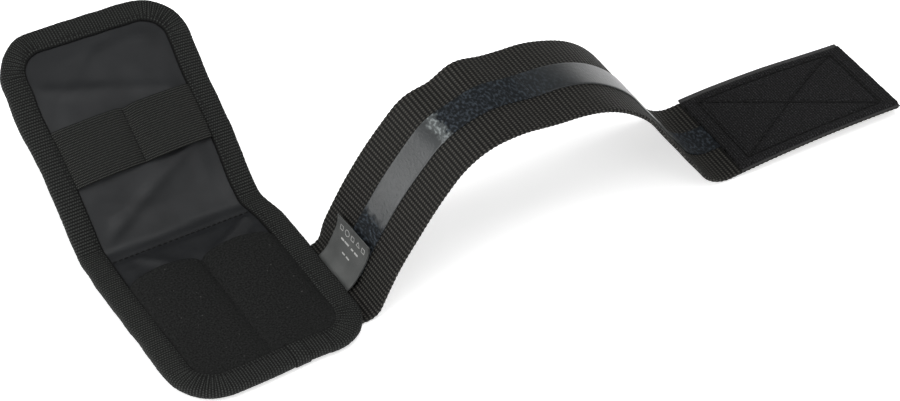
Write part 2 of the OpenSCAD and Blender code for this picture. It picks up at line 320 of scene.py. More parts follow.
def pocket_material():
    nodes = Nodes("stretch_pocket", (0.008, 0.0085, 0.0083), 0.92, Specular_IOR_Level=0.12)
    grain = nodes.noise(1.3, 4.0)
    knit = plain_weave(nodes, 0.8, 0.4)
    lint = nodes.noise(0.75, 0.0)
    base = nodes.ramp(grain, [(0.3, (0.0035, 0.0037, 0.0036)), (0.7, (0.0185, 0.0192, 0.0187))])
    nodes.color(nodes.mix(nodes.level(lint, 0.81, 0.84, 0.0, 0.35), base, (0.11, 0.11, 0.105, 1)))
    nodes.bump(nodes.math("MULTIPLY_ADD", knit, 0.4, grain), 0.00018, 0.7)
    return nodes.material


# Where the rubber is scuffed, in mm along the strap: below the foot, over the crest, past the tail
WORN_FOOT = (36.0, 39.0)
WORN_CREST = (83.0, 86.0)
CREST_FADE = (118.0, 150.0)
WORN_TAIL = (222.0, 228.0)


def rubber_material():
    """A rubber strip in two glossy runs, scuffed matt and mottled at both ends and between them."""
    nodes = Nodes("grip_rubber", (0.012, 0.0145, 0.016), 0.3, Specular_IOR_Level=0.9)
    ragged = nodes.math("MULTIPLY_ADD", nodes.noise(0.35, 3.0), 7.0, nodes.axis(0))
    foot = nodes.level(ragged, *WORN_FOOT, 1.0, 0.0)
    crest = nodes.level(ragged, *WORN_CREST, 0.0, 1.0)
    bends = nodes.math("MULTIPLY", crest, nodes.level(ragged, *CREST_FADE, 1.0, 0.0))
    tail = nodes.level(ragged, *WORN_TAIL, 0.0, 1.0)
    worn = nodes.math("MAXIMUM", nodes.math("MAXIMUM", foot, bends), tail)
    speckle = nodes.level(nodes.noise(0.9, 5.0, (1.0, 0.6, 1)), 0.47, 0.66, 0.0, 1.0)
    glossy = [(0.3, (0.009, 0.0115, 0.0125)), (0.75, (0.013, 0.0165, 0.018))]
    smooth = nodes.ramp(nodes.noise(0.12, 3.0), glossy)
    mottled = nodes.ramp(speckle, [(0.0, (0.004, 0.0055, 0.007)), (1.0, (0.034, 0.043, 0.053))])
    surface = nodes.mix(worn, smooth, mottled)
    # A pale speckled line is painted across the strip where the matt stretch over the crest begins
    off_line = nodes.math("ABSOLUTE", nodes.math("ADD", ragged, -WORN_CREST[0]))
    line_flecks = nodes.level(speckle, 0.1, 0.6, 0.25, 1.0)
    line = nodes.math("MULTIPLY", nodes.level(off_line, 0.8, 3.2, 1.0, 0.0), line_flecks)
    nodes.color(nodes.mix(line, surface, (0.17, 0.19, 0.19, 1)))
    dull = nodes.math("MAXIMUM", worn, line)
    nodes.roughness(nodes.level(dull, 0.0, 1.0, 0.34, 0.7))
    nodes.link(nodes.level(worn, 0.0, 1.0, 0.9, 0.2), nodes.shader.inputs["Specular IOR Level"])
    grain = nodes.math("MULTIPLY_ADD", speckle, 0.8, nodes.noise(0.5, 3.0))
    nodes.bump(nodes.math("MULTIPLY", grain, 0.6), 0.00012, 0.6)
    return nodes.material


def hook_material():
    """A dense dark pile, its tuft tops painted light as highlight and its low spots dark as shade,
    with a paler flat selvage down each long side.
    """
    nodes = Nodes("hook_tape", (0.012, 0.012, 0.0125), 0.9, Specular_IOR_Level=0.15)
    rows = ribbed_grid(nodes, 1.1, 1.1)
    tufts = nodes.noise(1.5, 5.0)
    height = nodes.math("MULTIPLY_ADD", tufts, 1.3, nodes.math("MULTIPLY", rows, 0.35))
    # Painted highlight and shade: the pile's colour follows its height, near black low down and
    # light on the tuft tops.
    stops = [
        (0.3, (0.003, 0.003, 0.0032)),
        (0.6, (0.014, 0.014, 0.0147)),
        (1.0, (0.06, 0.06, 0.063)),
    ]
    pile = nodes.ramp(nodes.level(height, 0.35, 1.25, 0, 1), stops)
    off_middle = nodes.math("ADD", nodes.axis(1), -(STRAP_Y + STRAP_W / 2))
    from_middle = nodes.math("ABSOLUTE", off_middle)
    selvage = nodes.level(from_middle, 23.6, 24.4, 0.0, 1.0)
    nodes.color(nodes.mix(selvage, pile, (0.055, 0.055, 0.055, 1)))
    nodes.bump(height, 0.0005, 0.9)
    return nodes.material


def label_material():
    nodes = Nodes("label_satin", (0.07, 0.072, 0.07), 0.5)
    threads = nodes.wave(nodes.axis(1), 0.3)
    cloud = nodes.noise(0.1, 3.0)
    nodes.color(nodes.ramp(cloud, [(0.25, (0.06, 0.0625, 0.061)), (0.8, (0.10, 0.1025, 0.10))]))
    nodes.bump(threads, 0.00005, 0.5)
    return nodes.material


def simple_material(name, color, roughness, grain=2.0):
    nodes = Nodes(name, color, roughness)
    fine = nodes.noise(grain, 3.0)
    dark = tuple(c * 0.6 for c in color)
    light = tuple(c * 1.4 for c in color)
    nodes.color(nodes.ramp(fine, [(0.3, dark), (0.7, light)]))
    nodes.bump(fine, 0.00008, 0.5)
    return nodes.material


# ---------------------------------------------------------------- meshes


def new_piece(name, points, faces, material, uvs=None, smooth=True):
    """A mesh piece from points in metres, with one UV pair per point in millimetres."""
    mesh = bpy.data.meshes.new(name)
    mesh.from_pydata([tuple(p) for p in points], [], faces)
    layer = mesh.uv_layers.new(name="UVMap")
    flat = np.zeros((len(mesh.loops), 2), np.float32)
    index = np.zeros(len(mesh.loops), np.int32)
    mesh.loops.foreach_get("vertex_index", index)
    if uvs is not None:
        flat[:] = np.asarray(uvs, np.float32)[index]
    layer.data.foreach_set("uv", flat.ravel())
    mesh.polygons.foreach_set("use_smooth", [smooth and len(face) <= 4 for face in faces])
    mesh.materials.append(material)
    mesh.validate()
    mesh.update()
    piece = bpy.data.objects.new(name, mesh)
    bpy.context.scene.collection.objects.link(piece)
    return piece


def tube_faces(rings, sides, closed_path=False):
    """Quads of a closed cross-section carried along a path, with end caps on an open path."""
    faces = []
    last = rings if closed_path else rings - 1
    for i in range(last):
        for j in range(sides):
            a, b = i * sides, ((i + 1) % rings) * sides
            k = (j + 1) % sides
            faces.append((a + j, a + k, b + k, b + j))
    if not closed_path:
        faces.append(tuple(range(sides - 1, -1, -1)))
        faces.append(tuple(range((rings - 1) * sides, rings * sides)))
    return faces


def slab_faces(rows, columns):
    """Faces of a closed slab: an upper grid of points, then a lower one, joined round the rim."""
    stride = columns + 1
    offset = (rows + 1) * stride
    faces = []
    for i in range(rows):
        for j in range(columns):
            a = i * stride + j
            faces.append((a, a + 1, a + stride + 1, a + stride))
            faces.append((offset + a, offset + a + stride, offset + a + stride + 1, offset + a + 1))
    rim = list(range(stride))
    rim += [i * stride + columns for i in range(1, rows + 1)]
    rim += [rows * stride + j for j in range(columns - 1, -1, -1)]
    rim += [i * stride for i in range(rows - 1, 0, -1)]
    for a, b in zip(rim, rim[1:] + rim[:1]):
        faces.append((a, offset + a, offset + b, b))
    return faces


def ribbon_section(y0, y1, low, high, step):
    """Cross-section of a flat band: (y, height) round it, with half-round edges."""
    radius = (high - low) / 2
    middle = (high + low) / 2
    across = np.linspace(y0 + radius, y1 - radius, max(2, round((y1 - y0) / step)))
    turns = [math.radians(a) for a in (-60, -30, 0, 30, 60)]
    section = [(y, low) for y in across]
    section += [(y1 - radius + radius * math.cos(a), middle + radius * math.sin(a)) for a in turns]
    section += [(y, high) for y in across[::-1]]
    section += [(y0 + radius - radius * math.cos(a), middle - radius * math.sin(a)) for a in turns]
    return section


def hump(value, middle, width):
    """A smooth bump of height 1."""
    return math.exp(-(((value - middle) / width) ** 2))


def ease(value, low, high):
    """Smooth step from 0 at low to 1 at high."""
    t = min(1.0, max(0.0, (value - low) / (high - low)))
    return t * t * (3 - 2 * t)


def wander(x, y, scale, seed):
    """Smooth noise from about -1 to 1."""
    return noise.noise(Vector((x * scale, y * scale, seed)))


# ---------------------------------------------------------------- the strap

BENDS = [(8, 66), (62, -18), (40, -58), (18, 8), (48, -55), (44, 0), (16, 63), (82, -8)]
STRAP_START = (43.4, 0.85)
STRAP_LENGTH = 318
STRAP_Y = -33.0
STRAP_W = 50
STRAP_T = 1.6
GRIP_W = 15
GRIP_T = 0.6
GRIP_START = 10
GRIP_UNDER_HOOK = 1
HOOK_LENGTH = 77
SCALLOP_PITCH = 2.2


def bend_course(bends, start, heading, s):
    """Point and heading of a course of circular bends at a distance along it."""
    x, z = start
    angle = math.radians(heading)
    if s < 0:
        return x + s * math.cos(angle), z + s * math.sin(angle), angle
    for length, turn in bends:
        run = min(length, s)
        half = math.radians(turn) * run / length / 2
        chord = run if abs(half) < 1e-9 else run * math.sin(half) / half
        x += chord * math.cos(angle + half)
        z += chord * math.sin(angle + half)
        angle += 2 * half
        s -= run
        if s <= 0:
            break
    return x, z, angle


def strap_point(s, y, lift):
    """A point off the strap's middle surface, with the strap's slight unevenness."""
    x, z, angle = bend_course(BENDS, STRAP_START, 0, s)
    across = (y - STRAP_Y) / STRAP_W
    buckle = 1.1 * hump(s, 101, 7) * (across - 0.25) - 2.4 * hump(s, 89, 8) * ease(across, 0.3, 1.1)
    buckle += 1.5 * ease(across, 0.4, 1) * ease(s, 4, 16) * (1 - ease(s, 72, 90))
    buckle -= 2.6 * across * ease(s, 236, 300) + 0.5 * across * ease(s, 225, 240)
    cup = 0.6 * wander(s, y, 0.045, 3.1) * ease(s, 12, 40) * (1 - ease(s, 200, 225))
    lift += buckle + cup
    y -= 1.8 * ease(across, 0.6, 1) * ease(s, STRAP_LENGTH - 40, STRAP_LENGTH)
    return Vector((x - lift * math.sin(angle), y, z + lift * math.cos(angle))) * MM


def strap_band(name, s0, s1, section, material, step, shape=None):
    """A band swept along the strap; shape(s, y, h) may move a section point."""
    count = max(2, round((s1 - s0) / step))
    points, uvs = [], []
    for i in range(count + 1):
        s = s0 + (s1 - s0) * i / count
        for y, h in section:
            yy, hh = shape(s, y, h) if shape else (y, h)
            points.append(strap_point(s, yy, hh))
            uvs.append((s, y + (0.35 * h)))
    return new_piece(name, points, tube_faces(count + 1, len(section)), material, uvs)


# Each length of strap crosses one hinge: name, from, to, bodies, and the bend's start and end
STRAP_PARTS = [
    ("root", -18, 29, "base", "strap_rise", 0, 14),
    ("shoulder", 29, 120, "strap_rise", "strap_crest", 70, 110),
    ("crest", 120, 198, "strap_crest", "strap_fall", 128, 176),
    ("foot", 198, STRAP_LENGTH, "strap_fall", "strap_end", 216, 240),
]


def webbing_shape(s, y, h):
    """The woven edges are slightly scalloped; the weave itself is in the material."""
    edge = min(y - STRAP_Y, STRAP_Y + STRAP_W - y)
    side = -1 if y < STRAP_Y + STRAP_W / 2 else 1
    scallop = 0.16 * math.cos(2 * math.pi * s / SCALLOP_PITCH) * (1 - ease(edge, 0, 1.2))
    return y + side * scallop, h


def build_strap(webbing, rubber):
    for name, s0, s1, body_a, body_b, bend0, bend1 in STRAP_PARTS:
        middle, top = STRAP_Y + STRAP_W / 2, STRAP_T / 2
        section = ribbon_section(STRAP_Y, STRAP_Y + STRAP_W, -top, top, 1.0)
        band = strap_band(
            f"webbing_{name}", s0, s1, section, webbing, 0.55, webbing_shape
        )
        grip0 = max(s0, GRIP_START)
        grip1 = min(s1, STRAP_LENGTH - HOOK_LENGTH + GRIP_UNDER_HOOK)
        y0, y1 = middle - GRIP_W / 2, middle + GRIP_W / 2
        grip_section = ribbon_section(y0, y1, top - 0.1, top + GRIP_T, 0.75)
        grip = strap_band(f"grip_{name}", grip0, grip1, grip_section, rubber, 0.6)
        start = strap_point(bend0, middle, 0)
        end = strap_point(bend1, middle, 0)
        for piece in (band, grip):
            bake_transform(piece)
        if name == "root":
            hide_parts("strap_anchor", "strap_rise")
            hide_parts("grip_strip_rise")
        else:
            part = body_b.removeprefix("strap_")
            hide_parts(f"strap_{part}")
            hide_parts(f"grip_strip_{part}")


def hook_shape(s, y, h):
    """Low selvages, a pile of hooks between them, and a furrow along each line of thread."""
    edge = min(y - (STRAP_Y - 1), STRAP_Y + STRAP_W + 1 - y)
    if h <= STRAP_T / 2 + 0.05:
        return y, h
    pile = ease(edge, 1.6, 2.6)
    furrow = 0
    for gap in hook_lines(s, y):
        furrow = max(furrow, 1 - ease(gap, 0.3, 1.3))
    tuft = 0.2 * wander(s, y, 1.4, 7.7) + 0.16 * wander(s, y, 0.5, 2.2)
    low = STRAP_T / 2 + 0.55
    return y, low + pile * (0.8 - 0.62 * furrow + tuft) * min(1, (h - STRAP_T / 2) / HOOK_T)


HOOK_START = STRAP_LENGTH - HOOK_LENGTH
HOOK_MARGIN = 6
HOOK_T = 1.4


def hook_frame():
    """The box of thread on the hook tape: from and to along the strap, then across it."""
    s0, s1 = HOOK_START + HOOK_MARGIN, STRAP_LENGTH - HOOK_MARGIN
    y0, y1 = STRAP_Y + HOOK_MARGIN - 1, STRAP_Y + STRAP_W - HOOK_MARGIN + 1
    return s0, s1, y0, y1


def hook_lines(s, y):
    """Distances from a place on the hook tape to its box and cross of thread."""
    s0, s1, y0, y1 = hook_frame()
    inside_s = max(0, s0 - s, s - s1)
    inside_y = max(0, y0 - y, y - y1)
    gaps = [math.hypot(abs(y - line), inside_s) for line in (y0, y1)]
    gaps += [math.hypot(abs(s - line), inside_y) for line in (s0, s1)]
    slope = (y1 - y0) / (s1 - s0)
    lean = math.sqrt(1 + slope * slope)
    beyond = math.hypot(inside_s, inside_y)
    for sign in (1, -1):
        line = (y0 + y1) / 2 + sign * slope * (s - (s0 + s1) / 2)
        gaps.append(math.hypot((y - line) / lean, beyond))
    return gaps


def build_hook_tape(material, thread):
    low, high = STRAP_T / 2, STRAP_T / 2 + HOOK_T
    section = ribbon_section(STRAP_Y - 1, STRAP_Y + STRAP_W + 1, low, high, 0.6)
    tape = strap_band(
        "hook_tape_pile", HOOK_START, STRAP_LENGTH, section, material, 0.6, hook_shape
    )
    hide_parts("hook_tape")
    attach(tape, "strap_end")
    s0, s1, y0, y1 = hook_frame()
    runs = [((s0, y0), (s1, y0)), ((s0, y1), (s1, y1)), ((s0, y0), (s0, y1)), ((s1, y0), (s1, y1))]
    runs += [((s0, y0), (s1, y1)), ((s0, y1), (s1, y0))]
    stitches = Stitches()
    for a, b in runs:
        stitches.line(a, b, 3.2, lambda s, y: strap_point(s, y, STRAP_T / 2 + 1.12))
    piece = stitches.build("hook_tape_thread", thread)
    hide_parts("hook_tape_stitch")
    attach(piece, "strap_end")


class Stitches:
    """Short rounded lengths of thread, each sunk at its ends, gathered in one piece."""

    RADIUS = 0.26
    SIDES = 6

    def __init__(self):
        self.points, self.faces, self.uvs = [], [], []

    def line(self, a, b, pitch, surface):
        a, b = np.array(a, float), np.array(b, float)
        count = max(1, round(float(np.linalg.norm(b - a)) / pitch))
        for i in range(count):
            start = a + (b - a) * (i + 0.1) / count
            end = a + (b - a) * (i + 0.9) / count
            self.one(start, end, surface)

    def path(self, places, pitch, surface):
        for a, b in zip(places, places[1:]):
            self.line(a, b, pitch, surface)

    def one(self, start, end, surface):
        spots = [start + (end - start) * t for t in (0, 0.22, 0.5, 0.78, 1)]
        centres = [surface(*spot) for spot in spots]
        across = (end - start)[::-1] * np.array([-1, 1]) / max(1e-9, np.linalg.norm(end - start))
        side = (surface(*(spots[2] + 0.4 * across)) - centres[2]).normalized()
        along = (centres[-1] - centres[0]).normalized()
        up = along.cross(side).normalized()
        if up.z < 0 and abs(up.z) > 0.2:
            up = -up
        base = len(self.points)
        arc = (-0.3, 0.12, 0.2, 0.12, -0.3)
        size = (0.55, 0.95, 1.0, 0.95, 0.55)
        for centre, lift, scale in zip(centres, arc, size):
            for k in range(self.SIDES):
                angle = 2 * math.pi * k / self.SIDES
                ring = side * math.cos(angle) + up * math.sin(angle)
                self.points.append(centre + (up * lift + ring * self.RADIUS * scale) * MM)
                self.uvs.append((base * 0.37 + lift, angle))
        for face in tube_faces(len(arc), self.SIDES):
            self.faces.append(tuple(base + index for index in face))

    def build(self, name, material):
        return new_piece(name, self.points, self.faces, material, self.uvs)


# ---------------------------------------------------------------- the folded panels

PANEL_W = 84
FRONT = -44
FOLD_V = 50.0
LID_END = 149.0
CORNER_R = 20
MID_Z = 3.4
TAPE_W = 10
SEAM_V = 44.0
SEAM_PITCH = 2.6
# The panel's course behind the fold: it lies flat, turns up, then flattens towards the top
PANEL_BENDS = [(92, 0), (5, 44), (98, -30)]


def flat_shift(u, v):
    """How far the sewn panels stray from the flat pattern: a waist, a lean and a dented front."""
    side = u / (PANEL_W / 2)
    waist = -0.7 * side * hump(v, 47, 8) - 3.0 * ease(side, 0, 1) * hump(v, 58, 13)
    waist += ease(-side, 0.4, 1) * (3.2 * ease(v, 126, 147) - 1.4 * hump(v, 113, 12))
    lean = -1.2 * ease(v, 50, 80) + 3.0 * ease(v, 100, 148)
    lean -= 2.6 * ease(-side, 0.1, 1) * ease(v, 120, 148)
    dent = 2.2 * hump(u, 15, 19) * (1 - ease(v, FRONT - 2, FRONT + 26))
    return waist + lean, dent


def panel_point(u, v, h):
    """A point of the wallet: u across its flat pattern, v from front to lid, h off the middle."""
    shift_u, shift_v = flat_shift(u, v)
    y, z, angle = bend_course(PANEL_BENDS, (FRONT, MID_Z), 0, v + shift_v - FRONT)
    side = u / (PANEL_W / 2)
    twist = -5.0 * side * ease(v, 50, 80) * (1 - 0.35 * ease(v, 110, 149))
    crown = -0.8 * side * side * ease(v, 54, 75)
    soft = 0.5 * wander(u, v, 0.03, 4.2) * ease(v, 40, 60)
    lift = h + twist + crown + soft
    return Vector((u + shift_u, y - lift * math.sin(angle), z + lift * math.cos(angle))) * MM


def outline(inset, step):
    """The wallet's outline in its flat pattern: (u, v) pairs from the front, anticlockwise."""
    half = PANEL_W / 2 - inset
    r = CORNER_R - inset if inset < CORNER_R else 0.5
    front, end = FRONT + inset, LID_END - inset
    corners = [
        (half - r, front + r, -90),
        (half - r, end - r, 0),
        (r - half, end - r, 90),
        (r - half, front + r, 180),
    ]
    rough = []
    for cu, cv, start in corners:
        for k in range(13):
            angle = math.radians(start + 90 * k / 12)
            rough.append((cu + r * math.cos(angle), cv + r * math.sin(angle)))
    rough.append(rough[0])
    rough = np.array(rough)
    runs = np.concatenate([[0], np.cumsum(np.linalg.norm(np.diff(rough, axis=0), axis=1))])
    count = round(runs[-1] / step)
    places = np.linspace(0, runs[-1], count, endpoint=False)
    return np.column_stack([np.interp(places, runs, rough[:, i]) for i in (0, 1)]), places


def half_width(v, inset):
    """Half the panel's width at v, following its rounded corners."""
    half = PANEL_W / 2 - inset
    r = max(0.5, CORNER_R - inset)
    front, end = FRONT + inset, LID_END - inset
    gap = max(0.0, front + r - v, v - (end - r))
    return half - r + math.sqrt(max(0.0, r * r - gap * gap))


def sheet_grid(name, v0, v1, inset, step, height, thickness, material):
    """A closed thin sheet over the pattern between v0 and v1, with its top at height(u, v)."""
    rows = max(2, round((v1 - v0) / step))
    columns = max(2, round((PANEL_W - 2 * inset) / step))
    top, low, uvs = [], [], []
    for i in range(rows + 1):
        v = v0 + (v1 - v0) * i / rows
        half = half_width(v, inset)
        for j in range(columns + 1):
            u = half * (2 * j / columns - 1)
            h = height(u, v)
            top.append(panel_point(u, v, h))
            low.append(panel_point(u, v, h - thickness))
            uvs.append((u, v))
    return new_piece(name, top + low, slab_faces(rows, columns), material, uvs + uvs)


def blend_fold(piece):
    start = panel_point(0, FOLD_V - 5, 0)
    end = panel_point(0, FOLD_V + 5, 0)
    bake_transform(piece)


LINING_TOP = 1.2
# The lining never dips so far that the foam shows through it
LINING_LOW = 0.98
# Where the pocket's sewn sides end, along v, and what its bowed mouth takes up beyond that
POCKET_END = 27


def lining_height(u, v):
    """Nylon that lies softly, with wrinkles across the lid and slack folds before the seam."""
    edge = max(0.0, half_width(v, TAPE_W) - abs(u))
    room = ease(edge, 0, 9) * ease(v, SEAM_V + 1, SEAM_V + 10) * (1 - ease(v, 130, 139))
    folds = wander(u * 0.7 + v * 0.4, v - u * 0.35, 0.05, 1.3) + 0.35 * wander(u, v, 0.1, 5.5)
    crease = 0.9 * hump(v - 0.5 * u, 70, 3.2) - 0.8 * hump(v + 0.3 * u, 60, 4.0)
    crease += 0.7 * hump(v + 0.28 * u, 113, 3.4) - 0.6 * hump(v - 0.9 * u, 136, 4.5)
    h = LINING_TOP + room * (folds + crease + 0.5)
    strip = ease(v, 22, 30) * (1 - ease(v, 40, 43)) * ease(edge, 0, 6)
    slack = 0.9 * hump(u - 1.6 * (v - 34), 17, 4) - 0.5 * hump(u - 1.6 * (v - 34), 26, 4)
    slack += 0.7 * hump(u + 1.1 * (v - 34), -14, 4) + 0.4 * wander(u, v * 2, 0.07, 8.8)
    h += strip * (0.7 + 1.3 * slack)
    return max(LINING_LOW, h - 0.45 * hump(v, SEAM_V, 0.8))


def pocket_mouth(u):
    """Where the pocket's mouth lies: bowed towards the fold on each side of the middle seam."""
    half = PANEL_W / 2 - TAPE_W
    across = abs(u) / half
    return 26.6 + 2.4 * math.sin(math.pi * min(1, across)) ** 0.4 - 0.5 * hump(u, 0, 2.5)


def pocket_height(u, v):
    half = PANEL_W / 2 - TAPE_W
    across = min(1.0, abs(u) / half)
    opened = ease(v, FRONT + 14, POCKET_END)
    bow = 2.7 * math.sin(math.pi * across) ** 0.45 * opened
    flat = 0.9 * math.sin(math.pi * across) ** 0.5 * ease(v, FRONT + 9, FRONT + 20)
    seam = 0.35 * hump(u, 0, 0.9)
    wrinkle = 0.8 * hump(v + 0.012 * (u + 10) ** 2, -31.5, 1.3) * (1 - ease(abs(u + 10), 4, 9))
    soft = 0.35 * wander(u, v, 0.07, 6.1)
    return LINING_TOP + 0.65 + bow + flat - seam + wrinkle + soft * ease(across, 0.0, 0.2)


def build_pocket(material, thread):
    """The pocket is one sheet of stretch fabric, open at its bowed mouth."""
    inset = TAPE_W - 2.5
    front = FRONT + TAPE_W - 2.5
    step = 0.9
    depth = POCKET_END - front
    rows = round(depth / step)
    columns = round((PANEL_W - 2 * inset) / step)
    points, uvs = [[], []], []
    for i in range(rows + 1):
        share = i / rows
        for j in range(columns + 1):
            flat_half = half_width(max(front, front + share * depth), inset)
            u = flat_half * (2 * j / columns - 1)
            v = front + share * (pocket_mouth(u) - front)
            top = pocket_height(u, min(v, POCKET_END))
            if i == rows:
                top -= 0.15
            for side, drop in ((0, 0), (1, 0.6)):
                points[side].append(panel_point(u, v, top - drop))
            uvs.append((u, v))
    faces = slab_faces(rows, columns)
    both = points[0] + points[1]
    cloth = new_piece("pocket_cloth", both, faces, material, uvs + uvs)
    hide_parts("pocket")
    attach(cloth, "base")

    def seam(u, v):
        return panel_point(u, v, pocket_height(0, v) + 0.05)

    stitches = Stitches()
    stitches.line((0, FRONT + 11), (0, 25), SEAM_PITCH, seam)
    piece = stitches.build("pocket_thread", thread)
    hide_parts("pocket_centre_stitch")
    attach(piece, "base")


def build_panels(lining, shell, foam, thread):
    cloth = sheet_grid(
        "lining_cloth", FRONT + 1, LID_END - 1, 1, 0.9, lining_height, 0.35, lining
    )
    blend_fold(cloth)
    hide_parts("base_lining", "lid_lining")
    core = sheet_grid(
        "foam_core", FRONT + 1, LID_END - 1, 1, 1.5, lambda u, v: 0.75, 1.15, foam
    )
    blend_fold(core)
    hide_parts("base_foam", "lid_foam")
    outer = sheet_grid(
        "outer_shell", FRONT + 0.6, LID_END - 0.6, 0.6, 1.2,
        lambda u, v: -0.45 + 0.12 * wander(u, v, 0.09, 9.4), 0.75, shell,
    )
    blend_fold(outer)
    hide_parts("base_outer_shell", "lid_outer_shell")
    edge = PANEL_W / 2 - TAPE_W

    def seam(u, v):
        return panel_point(u, v, lining_height(u, v) + 0.1)

    stitches = Stitches()
    stitches.line((-edge, SEAM_V), (edge, SEAM_V), SEAM_PITCH, seam)
    piece = stitches.build("fold_thread", thread)
    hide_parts("fold_seam_stitch")
    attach(piece, "base")


RIB_PITCH = 1.26
BINDING_STITCH_INSET = 7.6
BINDING_STITCH_PITCH = 2.7


def binding_section():
    """Folded tape as (distance in from the edge, height), from the top leaf to the bottom one."""
    inner = [(TAPE_W - 0.3, 1.25), (TAPE_W, 1.5), (TAPE_W - 0.4, 1.95)]
    spots = (8.4, 7, 5.6, 4.2, 2.8, 1.4, 0.4)
    top = [(d, 2.2 + 0.35 * math.sin(math.pi * d / TAPE_W)) for d in spots]
    edge = [(-0.55, 1.75), (-0.95, 0.9), (-1.1, 0.0), (-0.95, -0.9), (-0.55, -1.6)]
    low = [(d, -1.85) for d in (0.8, 3.5, 6.5, 9)]
    under = [(TAPE_W, -1.55), (TAPE_W - 0.3, -1.25), (5, -1.25), (1, -1.2), (0.2, -0.8)]
    under += [(0.1, 0.0), (0.2, 0.8), (1, 1.2), (5, 1.25)]
    return inner + top + edge + low + under


def build_binding(material, thread):
    """One tape round the whole wallet, ribbed across its length."""
    path, runs = outline(0, 0.42)
    section = binding_section()
    ahead = np.roll(path, -1, axis=0) - np.roll(path, 1, axis=0)
    ahead /= np.linalg.norm(ahead, axis=1)[:, None]
    normals = np.column_stack([-ahead[:, 1], ahead[:, 0]])
    strides = [math.dist(a, b) for a, b in zip(section, section[1:])]
    across = np.concatenate([[0], np.cumsum(strides)])
    points, uvs = [], []
    for (u, v), (nu, nv), run in zip(path, normals, runs):
        rib = 0.035 * math.cos(2 * math.pi * run / RIB_PITCH)
        soft = 0.3 * noise.noise(Vector((run * 0.12, 0.0, 2.7)))
        soft += 0.1 * noise.noise(Vector((run * 0.6, 0.0, 5.1)))
        for (d, h), w in zip(section, across):
            outward = 1 if (h > 1.9 or h < -1.8 or d < -0.3) else 0
            column = 0.03 * math.cos(2 * math.pi * w / 1.7 + math.pi * run / RIB_PITCH)
            grow = outward * (rib + column)
            dd = d - (grow if d < 0.5 else 0) - (soft if d < 1 else -0.6 * soft)
            hh = h + math.copysign(grow, h) if abs(h) > 1.2 else h
            points.append(panel_point(u + nu * dd, v + nv * dd, hh))
            uvs.append((run, w))
    count, sides = len(path), len(section)
    faces = tube_faces(count, sides, True)
    tape = new_piece("binding_tape", points, faces, material, uvs)
    blend_fold(tape)
    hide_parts("base_binding", "lid_binding")
    inset, _ = outline(BINDING_STITCH_INSET, BINDING_STITCH_PITCH)
    rows = [tuple(p) for p in inset] + [tuple(inset[0])]
    stitches = Stitches()
    stitches.path(rows, BINDING_STITCH_PITCH, lambda u, v: panel_point(u, v, 2.42))
    piece = stitches.build("binding_thread", thread)
    blend_fold(piece)
    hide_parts("base_binding_stitch", "lid_binding_stitch")


def build_overlap(material):
    """The lapped end of the binding tape, over the front edge."""
    u0, u1 = 5.5, 12.5
    section = binding_section()[1:19]
    outer = []
    for d, h in section:
        raised = h + math.copysign(0.3, h) if abs(h) > 1.2 else h
        outer.append((d - (0.3 if d < 0.6 else 0), raised))
    loop = outer + [(d + (0.1 if d < 0.6 else 0), h * 0.97) for d, h in section[::-1]]
    points, uvs = [], []
    count = 22
    for i in range(count + 1):
        u = u0 + (u1 - u0) * i / count
        fray = 0.12 * math.cos(2 * math.pi * u / RIB_PITCH)
        for k, (d, h) in enumerate(loop):
            grow = fray if k < len(outer) and abs(h) > 1.2 else 0
            points.append(panel_point(u, FRONT + d, h + math.copysign(grow, h)))
            uvs.append((u, k * 0.9))
    faces = tube_faces(count + 1, len(loop))
    piece = new_piece("binding_lap", points, faces, material, uvs)
    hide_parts("binding_end_overlap")
    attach(piece, "base")


ELASTIC_V = (79.5, 104.5)


def elastic_height(u, v):
    """Two loops beside the middle seam, standing off most at the lower edge."""
    half = PANEL_W / 2 - TAPE_W
    across = min(1.0, abs(u) / half)
    share = (v - ELASTIC_V[0]) / (ELASTIC_V[1] - ELASTIC_V[0])
    stand = 2.9 - 1.7 * share
    seam = LINING_TOP + 1.25
    return seam + stand * math.sin(math.pi * across) ** 0.5 + 0.25 * wander(u, v, 0.08, 3.3)


def elastic_slant(u):
    """The band is sewn a little lower at its left end."""
    return 1.6 * u / (PANEL_W / 2)


def build_elastic(material, thread):
    v0, v1 = ELASTIC_V
    layers, uvs = [[], []], []
    rows, columns = 50, 110
    half = PANEL_W / 2 - TAPE_W + 2.0
    for i in range(rows + 1):
        v = v0 + (v1 - v0) * i / rows
        for j in range(columns + 1):
            u = half * (2 * j / columns - 1)
            kink = 0.6 * hump(u, 1.5, 2.5) * ease(i / rows, 0.4, 1)
            rib = 0.05 * math.cos(2 * math.pi * (v - v0) / 1.0)
            for side, lift in ((0, rib), (1, -0.8)):
                h = elastic_height(u, v) + lift
                h = min(h, 2.0 - 0.8 * side) if abs(u) > half - 2.0 else h
                layers[side].append(panel_point(u, v + elastic_slant(u) - kink, h))
            uvs.append((v, u))
    both, faces = layers[0] + layers[1], slab_faces(rows, columns)
    band = new_piece("elastic_cloth", both, faces, material, uvs + uvs)
    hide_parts("elastic_band")
    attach(band, "lid")

    def seam(u, v):
        return panel_point(u, v, elastic_height(0, v) + 0.12)

    stitches = Stitches()
    stitches.line((0, v0 + 1), (0, v1 - 1), 2.4, seam)
    piece = stitches.build("elastic_thread", thread)
    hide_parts("elastic_centre_stitch")
    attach(piece, "lid")


# ---------------------------------------------------------------- the label and the underside

LABEL_BENDS = [(6, 25), (8, 6), (7, 30)]
LABEL_START = (44.4, 3.8)
LABEL_HEADING = 35
LABEL_Y = -16.0
LABEL_W = 24
LABEL_LENGTH = 21


